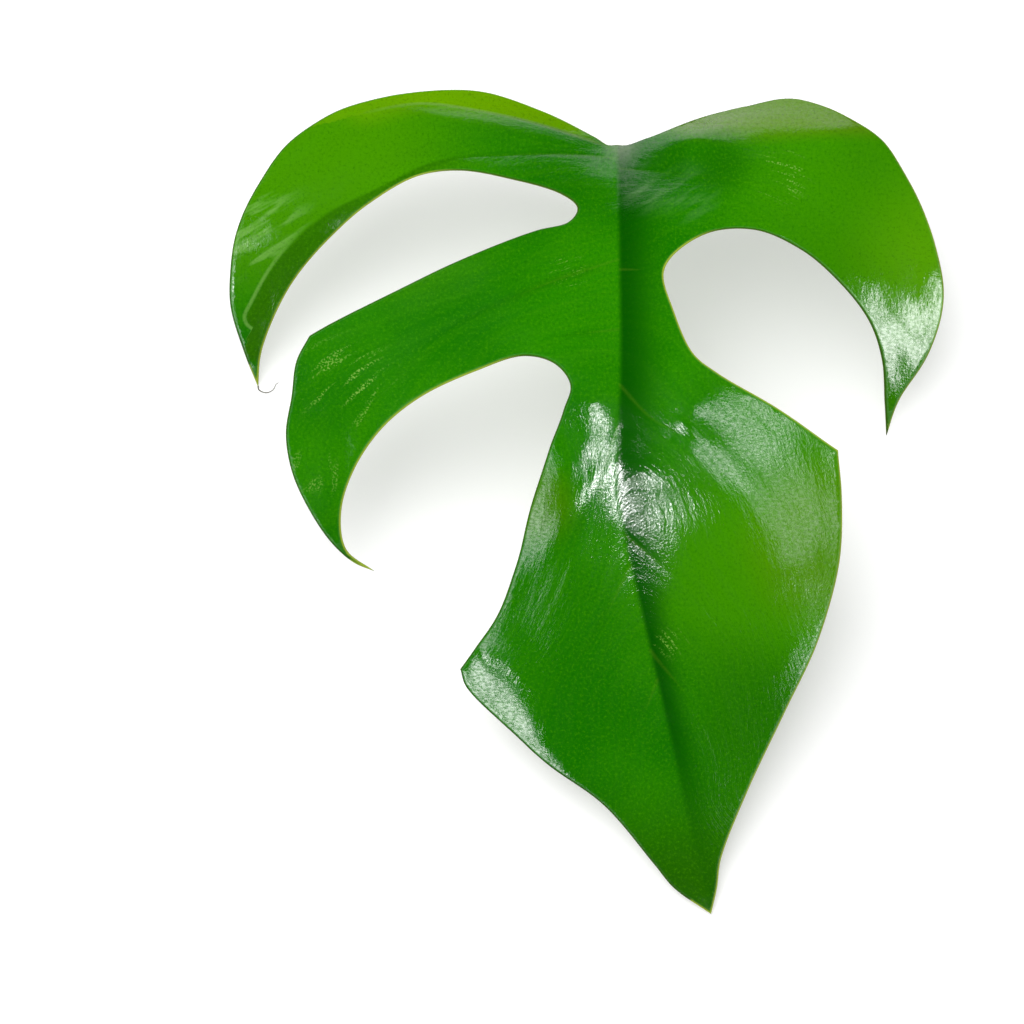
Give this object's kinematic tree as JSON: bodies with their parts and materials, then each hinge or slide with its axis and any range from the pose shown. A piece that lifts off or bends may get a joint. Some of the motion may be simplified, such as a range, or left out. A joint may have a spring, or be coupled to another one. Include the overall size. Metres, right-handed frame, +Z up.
{
  "type": "mini monstera leaf",
  "caption": "Picked split leaf of a mini monstera, lying face up: a glossy green blade with deep splits and hooked lobes, its stalk bent back beneath it.",
  "frame": {"origin": "on the ground, under the middle of the leaf's bounding box", "axes": "+Z up from the ground, +Y along the midrib from the blade's tip to its base, +X to the right when looking from tip to base at the upper face"},
  "size_m": [0.1484, 0.1702, 0.05],
  "materials": {
    "leaf_green": "satin",
    "stalk_green": "satin"
  },
  "bodies": {
    "root": {"blade": "leaf_green", "petiole": "stalk_green"}
  },
  "joints": []
}
